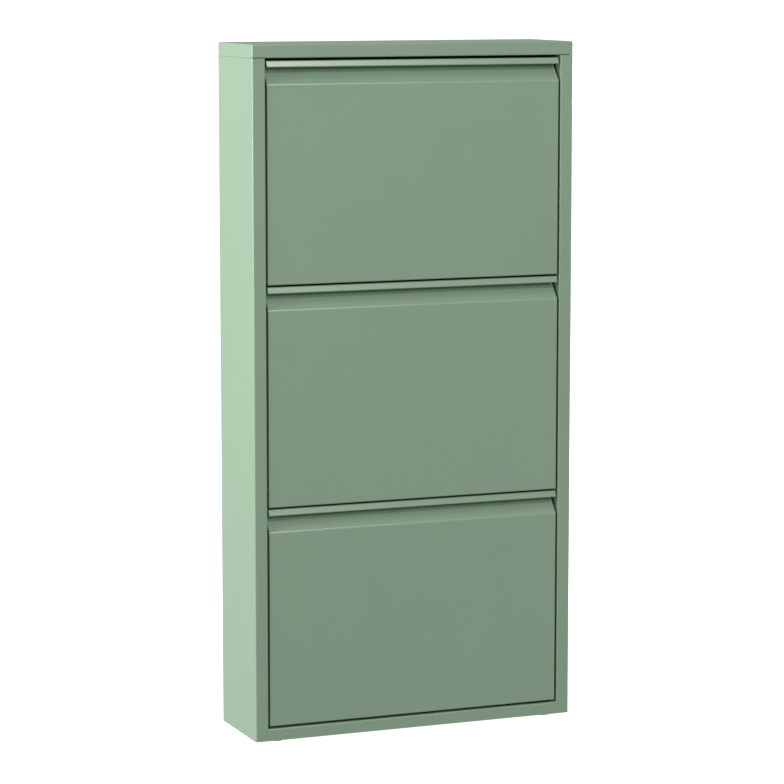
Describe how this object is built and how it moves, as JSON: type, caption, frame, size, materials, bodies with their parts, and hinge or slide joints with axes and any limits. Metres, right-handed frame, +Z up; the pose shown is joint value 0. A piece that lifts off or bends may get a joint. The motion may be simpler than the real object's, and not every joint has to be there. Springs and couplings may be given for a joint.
{
  "type": "shoe cabinet",
  "caption": "Slim folded-steel shoe cabinet; tip-out flaps, one above the other, turn on pins near their lower edges and stop on sleeved studs.",
  "frame": {"origin": "on the floor, under the middle of the cabinet", "axes": "+Z up, the flaps face -Y, +X to the right as seen from the front"},
  "size_m": [0.51, 0.15, 1.03],
  "materials": {
    "green_powder_coat": "sage green satin powder coat, fine orange peel",
    "green_powder_coat_flaps": "sage green satin powder coat, fine orange peel",
    "zinc_plated_steel": "bright zinc plating",
    "bush_nylon": "black nylon, moulded",
    "sleeve_rubber": "black rubber, matt",
    "foot_plastic": "dark grey moulded plastic, fine grain"
  },
  "bodies": {
    "carcass": {"left_side_panel": "green_powder_coat", "right_side_panel": "green_powder_coat", "top_cap": "green_powder_coat", "bottom_panel": "green_powder_coat", "back_panel": "green_powder_coat", "foot_front_left": "foot_plastic", "foot_front_right": "foot_plastic", "foot_rear_left": "foot_plastic", "foot_rear_right": "foot_plastic", "back_screw_1": "zinc_plated_steel", "back_screw_2": "zinc_plated_steel", "back_screw_3": "zinc_plated_steel", "back_screw_4": "zinc_plated_steel", "back_screw_5": "zinc_plated_steel", "back_screw_6": "zinc_plated_steel", "back_screw_7": "zinc_plated_steel", "back_screw_8": "zinc_plated_steel", "lower_left_bush": "bush_nylon", "lower_left_stop_stud": "zinc_plated_steel", "lower_left_stop_sleeve": "sleeve_rubber", "lower_right_bush": "bush_nylon", "lower_right_stop_stud": "zinc_plated_steel", "lower_right_stop_sleeve": "sleeve_rubber", "middle_left_bush": "bush_nylon", "middle_left_stop_stud": "zinc_plated_steel", "middle_left_stop_sleeve": "sleeve_rubber", "middle_right_bush": "bush_nylon", "middle_right_stop_stud": "zinc_plated_steel", "middle_right_stop_sleeve": "sleeve_rubber", "upper_left_bush": "bush_nylon", "upper_left_stop_stud": "zinc_plated_steel", "upper_left_stop_sleeve": "sleeve_rubber", "upper_right_bush": "bush_nylon", "upper_right_stop_stud": "zinc_plated_steel", "upper_right_stop_sleeve": "sleeve_rubber"},
    "lower_flap": {"lower_flap_front": "green_powder_coat_flaps", "lower_toe_tray": "green_powder_coat_flaps", "lower_retaining_rod": "zinc_plated_steel", "lower_left_cheek": "green_powder_coat_flaps", "lower_left_pivot_pin": "zinc_plated_steel", "lower_right_cheek": "green_powder_coat_flaps", "lower_right_pivot_pin": "zinc_plated_steel"},
    "middle_flap": {"middle_flap_front": "green_powder_coat_flaps", "middle_toe_tray": "green_powder_coat_flaps", "middle_retaining_rod": "zinc_plated_steel", "middle_left_cheek": "green_powder_coat_flaps", "middle_left_pivot_pin": "zinc_plated_steel", "middle_right_cheek": "green_powder_coat_flaps", "middle_right_pivot_pin": "zinc_plated_steel"},
    "upper_flap": {"upper_flap_front": "green_powder_coat_flaps", "upper_toe_tray": "green_powder_coat_flaps", "upper_retaining_rod": "zinc_plated_steel", "upper_left_cheek": "green_powder_coat_flaps", "upper_left_pivot_pin": "zinc_plated_steel", "upper_right_cheek": "green_powder_coat_flaps", "upper_right_pivot_pin": "zinc_plated_steel"}
  },
  "joints": [
    {"name": "lower_flap_tilt", "type": "hinge", "parent": "carcass", "child": "lower_flap", "pos_m": [0, -0.066, 0.0495], "axis": [1, 0, 0], "range_deg": [0, 40]},
    {"name": "middle_flap_tilt", "type": "hinge", "parent": "carcass", "child": "middle_flap", "pos_m": [0, -0.066, 0.378], "axis": [1, 0, 0], "range_deg": [0, 40]},
    {"name": "upper_flap_tilt", "type": "hinge", "parent": "carcass", "child": "upper_flap", "pos_m": [0, -0.066, 0.7065], "axis": [1, 0, 0], "range_deg": [0, 40]}
  ]
}
